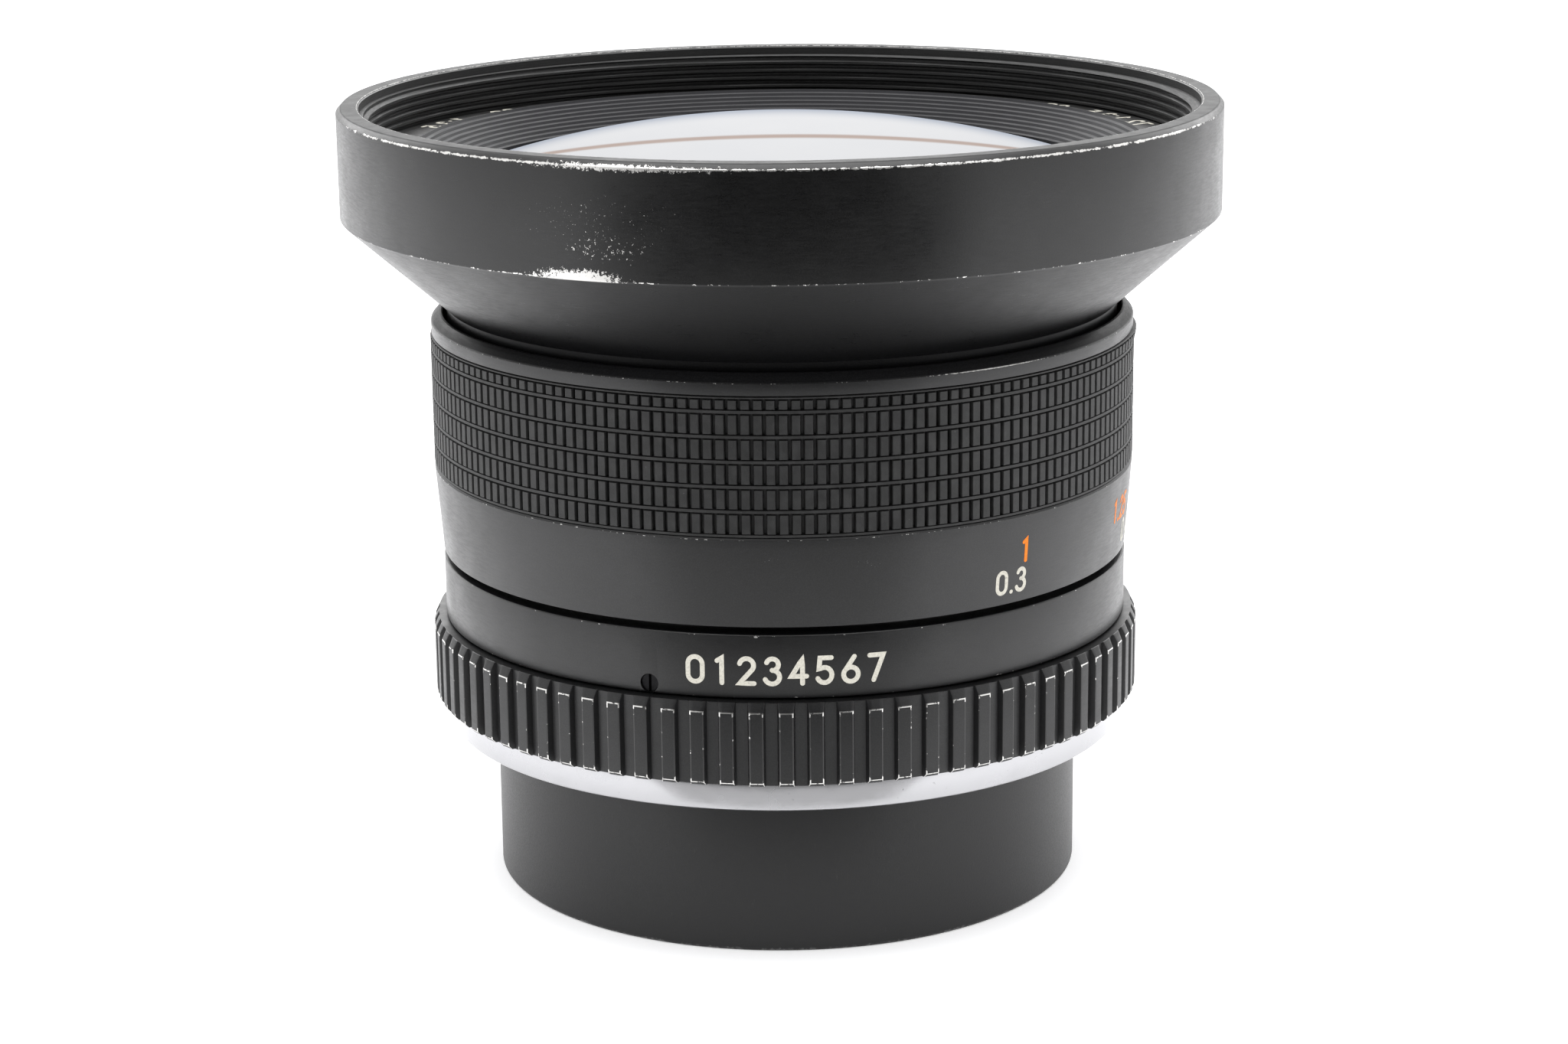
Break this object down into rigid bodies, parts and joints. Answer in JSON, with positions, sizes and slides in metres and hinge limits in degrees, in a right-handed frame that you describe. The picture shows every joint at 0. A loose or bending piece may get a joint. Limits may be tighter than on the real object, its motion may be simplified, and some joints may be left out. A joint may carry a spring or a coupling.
{
  "type": "prime camera lens",
  "caption": "Wide-angle prime lens with a flared front, ribbed aperture ring, rubber-gripped focusing ring and bayonet mount, standing on its rear cap.",
  "frame": {"origin": "centre of the rear cap's underside, on the surface that the lens stands on", "axes": "+Z along the optical axis towards the front; the index line faces +Y and the serial number -Y"},
  "size_m": [0.0767, 0.0766, 0.069],
  "materials": {
    "black_anodised": "satin black anodised with a fine turned grain and bare metal on worn edges",
    "ribbed_anodised": "satin black anodised, bright along the rib edges",
    "grip_rubber": "moulded matt rubber",
    "matt_black": "flat black anodised",
    "name_ring_black": "flat black with white engraved figures",
    "grey_anodised": "grey anodised with turned ridges",
    "mount_chrome": "satin chrome plated brass",
    "cap_plastic": "satin moulded black plastic",
    "coated_glass": "polished with an antireflection coating",
    "brass": "turned brass, lightly greased",
    "steel": "turned steel",
    "dark_steel": "blackened steel, worn in the slot",
    "spring_steel": "blued spring steel",
    "blade_steel": "blackened spring steel",
    "red_plastic": "glossy red bead",
    "white_paint": "white enamel in the engraved figures",
    "orange_paint": "orange enamel in the engraved figures"
  },
  "bodies": {
    "barrel": {"fixed_barrel": "black_anodised", "mount_flange": "mount_chrome", "mount_screws": "steel", "rear_light_baffle": "matt_black", "barrel_grub_screws": "dark_steel", "mounting_dot": "red_plastic", "focus_keys": "brass", "key_screws": "steel", "focus_stop_block": "steel", "click_spring": "spring_steel", "click_spring_screw": "steel", "lever_retaining_ring": "spring_steel"},
    "focusing_ring": {"focus_ring": "black_anodised", "rubber_grip": "grip_rubber", "helicoid_sleeve": "brass", "focus_ring_screws": "steel", "guide_screws": "steel"},
    "lens_head": {"front_barrel": "black_anodised", "name_ring": "name_ring_black", "front_retaining_ring": "grey_anodised", "front_element": "coated_glass", "front_cell": "matt_black", "second_element": "coated_glass", "second_element_ring": "matt_black", "third_element": "coated_glass", "third_element_ring": "matt_black", "fourth_element": "coated_glass", "fourth_element_ring": "matt_black", "helicoid_tube": "brass", "head_screws": "steel", "iris_base_plate": "matt_black", "iris_housing": "matt_black", "rear_cell": "matt_black", "rear_cell_screws": "steel", "fifth_element": "coated_glass", "fifth_element_ring": "matt_black", "sixth_element": "coated_glass", "seventh_element": "coated_glass", "rear_spacer": "matt_black", "rear_element": "coated_glass", "rear_retaining_ring": "matt_black"},
    "aperture_control": {"aperture_ring": "ribbed_anodised", "iris_drive_arm": "steel"},
    "iris_cam": {"iris_cam_ring": "brass"},
    "blade_1": {"iris_blade_1": "blade_steel"},
    "blade_2": {"iris_blade_2": "blade_steel"},
    "blade_3": {"iris_blade_3": "blade_steel"},
    "blade_4": {"iris_blade_4": "blade_steel"},
    "blade_5": {"iris_blade_5": "blade_steel"},
    "blade_6": {"iris_blade_6": "blade_steel"},
    "stopdown_lever": {"stopdown_lever_ring": "steel"},
    "click_detent": {"click_ball": "steel"},
    "cap": {"rear_cap": "cap_plastic"}
  },
  "joints": [
    {"name": "focus", "type": "hinge", "parent": "barrel", "child": "focusing_ring", "pos_m": [0, 0, 0.038], "axis": [0, 0, 1], "range_deg": [0, 142]},
    {"name": "head_slide", "type": "slide", "parent": "barrel", "child": "lens_head", "axis": [0, 0, 1], "range_m": [0, 0.0019]},
    {"name": "aperture", "type": "hinge", "parent": "barrel", "child": "aperture_control", "pos_m": [0, 0, 0.02], "axis": [0, 0, 1], "range_deg": [0, 38.81]},
    {"name": "iris_cam_turn", "type": "hinge", "parent": "lens_head", "child": "iris_cam", "pos_m": [0, 0, 0.0346], "axis": [0, 0, 1], "range_deg": [0, 39.01]},
    {"name": "stopdown", "type": "hinge", "parent": "barrel", "child": "stopdown_lever", "pos_m": [0, 0, 0.017], "axis": [0, 0, 1], "range_deg": [0, 39.01]},
    {"name": "click", "type": "slide", "parent": "barrel", "child": "click_detent", "axis": [1, 0, 0], "range_m": [0, 0.0002], "stiffness_N_per_m": 200, "springref_m": 0.0002},
    {"name": "cap_twist", "type": "hinge", "parent": "barrel", "child": "cap", "pos_m": [0, 0, 0.007], "axis": [0, 0, 1], "range_deg": [0, 60]},
    {"name": "blade_1_turn", "type": "hinge", "parent": "lens_head", "child": "blade_1", "pos_m": [0.0185, 0, 0.036], "axis": [0, 0, 1], "range_deg": [0, 27.7]},
    {"name": "blade_2_turn", "type": "hinge", "parent": "lens_head", "child": "blade_2", "pos_m": [0.00925, 0.01602, 0.036], "axis": [0, 0, 1], "range_deg": [0, 27.7]},
    {"name": "blade_3_turn", "type": "hinge", "parent": "lens_head", "child": "blade_3", "pos_m": [-0.00925, 0.01602, 0.036], "axis": [0, 0, 1], "range_deg": [0, 27.7]},
    {"name": "blade_4_turn", "type": "hinge", "parent": "lens_head", "child": "blade_4", "pos_m": [-0.0185, 0, 0.036], "axis": [0, 0, 1], "range_deg": [0, 27.7]},
    {"name": "blade_5_turn", "type": "hinge", "parent": "lens_head", "child": "blade_5", "pos_m": [-0.00925, -0.01602, 0.036], "axis": [0, 0, 1], "range_deg": [0, 27.7]},
    {"name": "blade_6_turn", "type": "hinge", "parent": "lens_head", "child": "blade_6", "pos_m": [0.00925, -0.01602, 0.036], "axis": [0, 0, 1], "range_deg": [0, 27.7]}
  ],
  "couplings": [
    {"joint": "head_slide", "follows": "focus", "m_per_rad": 0.00076623},
    {"joint": "iris_cam_turn", "follows": "aperture", "ratio": 1},
    {"joint": "stopdown", "follows": "aperture", "ratio": 1},
    {"joint": "blade_1_turn", "follows": "aperture", "ratio": 0.70862},
    {"joint": "blade_2_turn", "follows": "aperture", "ratio": 0.70862},
    {"joint": "blade_3_turn", "follows": "aperture", "ratio": 0.70862},
    {"joint": "blade_4_turn", "follows": "aperture", "ratio": 0.70862},
    {"joint": "blade_5_turn", "follows": "aperture", "ratio": 0.70862},
    {"joint": "blade_6_turn", "follows": "aperture", "ratio": 0.70862}
  ]
}
